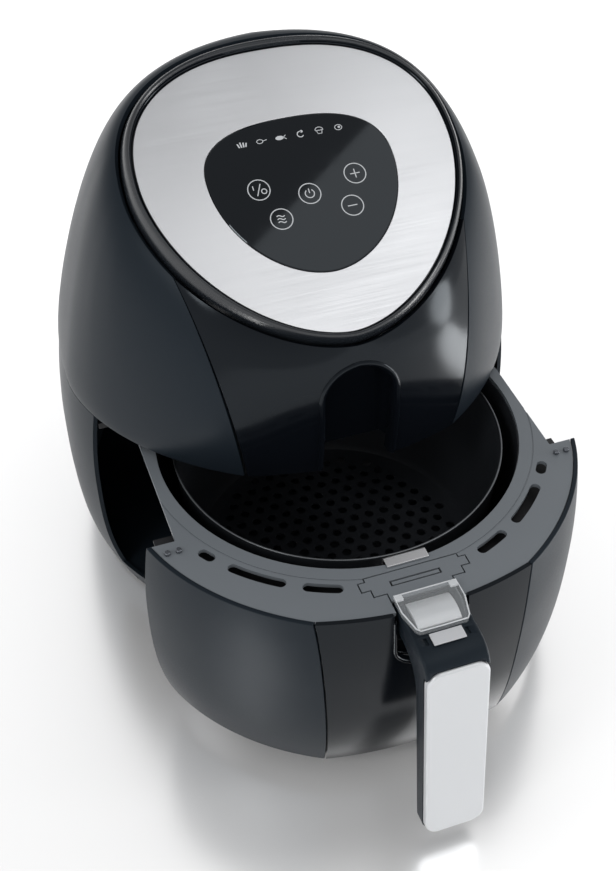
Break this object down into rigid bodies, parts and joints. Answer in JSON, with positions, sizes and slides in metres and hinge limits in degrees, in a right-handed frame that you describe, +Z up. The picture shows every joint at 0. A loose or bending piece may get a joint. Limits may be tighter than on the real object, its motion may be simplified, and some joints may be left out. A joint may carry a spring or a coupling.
{
  "type": "hot-air fryer",
  "caption": "Egg-shaped table-top hot-air fryer with a sloped touch panel, a pull-out drawer pan and a lift-out perforated basket on a handle with a covered release button.",
  "frame": {"origin": "middle of the bottom of the part's bounding box on the table, as built with the drawer standing open", "axes": "+Z up; -Y is the front, where the drawer and handle come out; +Y is the rear with the cord gland; X runs across"},
  "size_m": [0.2846, 0.4572, 0.3261],
  "materials": {
    "slate_plastic": "satin",
    "gloss_black_plastic": "gloss",
    "satin_grey_plastic": "satin",
    "dark_inner_plastic": "matt",
    "brushed_aluminium": "brushed",
    "touch_glass": "gloss, printed black behind",
    "silver_lacquer": "silver lacquer",
    "clear_plastic": "clear",
    "sheet_steel": "rolled",
    "nonstick_coating": "satin non-stick coat on steel",
    "heating_element": "oxidised tube",
    "circuit_board": "solder mask",
    "foot_rubber": "matt",
    "motor_steel": "plain"
  },
  "bodies": {
    "housing": {"base_shell": "slate_plastic", "bottom_cover": "dark_inner_plastic", "foot_front_left": "foot_rubber", "foot_front_right": "foot_rubber", "foot_rear_left": "foot_rubber", "foot_rear_right": "foot_rubber", "cord_gland": "foot_rubber", "runner_left": "dark_inner_plastic", "runner_right": "dark_inner_plastic", "mid_plate": "dark_inner_plastic", "cooking_chamber": "sheet_steel", "heating_coil": "heating_element", "thermal_cutout": "motor_steel", "temperature_probe": "sheet_steel", "motor_bracket": "sheet_steel", "motor": "motor_steel", "power_board": "circuit_board", "drawer_switch": "dark_inner_plastic", "side_shell": "slate_plastic", "outlet_grille": "dark_inner_plastic", "front_panel": "gloss_black_plastic", "thumb_niche": "gloss_black_plastic", "bezel_ring": "gloss_black_plastic", "top_plate": "brushed_aluminium", "touch_glass": "touch_glass", "display_frame": "dark_inner_plastic", "control_board": "circuit_board"},
    "drawer": {"drawer_deck": "satin_grey_plastic", "fascia_left": "slate_plastic", "fascia_right": "slate_plastic", "fascia_centre": "gloss_black_plastic", "front_carrier": "dark_inner_plastic", "handle_recess": "gloss_black_plastic", "drawer_pan": "nonstick_coating"},
    "basket": {"basket": "nonstick_coating", "basket_bracket": "sheet_steel", "handle_root": "satin_grey_plastic", "handle_grip": "slate_plastic", "grip_plate": "silver_lacquer", "button_spring": "sheet_steel"},
    "cover": {"button_cover": "clear_plastic"},
    "button": {"release_button": "silver_lacquer"},
    "rotor": {"motor_shaft": "sheet_steel", "hot_air_fan": "sheet_steel", "cooling_fan": "dark_inner_plastic"}
  },
  "joints": [
    {"name": "drawer_slide", "type": "slide", "parent": "housing", "child": "drawer", "axis": [0, -1, 0], "range_m": [-0.106, 0.15]},
    {"name": "basket_lift", "type": "slide", "parent": "drawer", "child": "basket", "axis": [0, 0, 1], "range_m": [0, 0.003]},
    {"name": "cover_slide", "type": "slide", "parent": "basket", "child": "cover", "axis": [0, -1, 0], "range_m": [0, 0.012]},
    {"name": "button_press", "type": "slide", "parent": "basket", "child": "button", "axis": [0, 0, -1], "range_m": [0, 0.003], "stiffness_N_per_m": 600},
    {"name": "fan_spin", "type": "hinge", "parent": "housing", "child": "rotor", "pos_m": [0, 0.06755, 0.2], "axis": [0, 0, 1], "continuous": true}
  ]
}
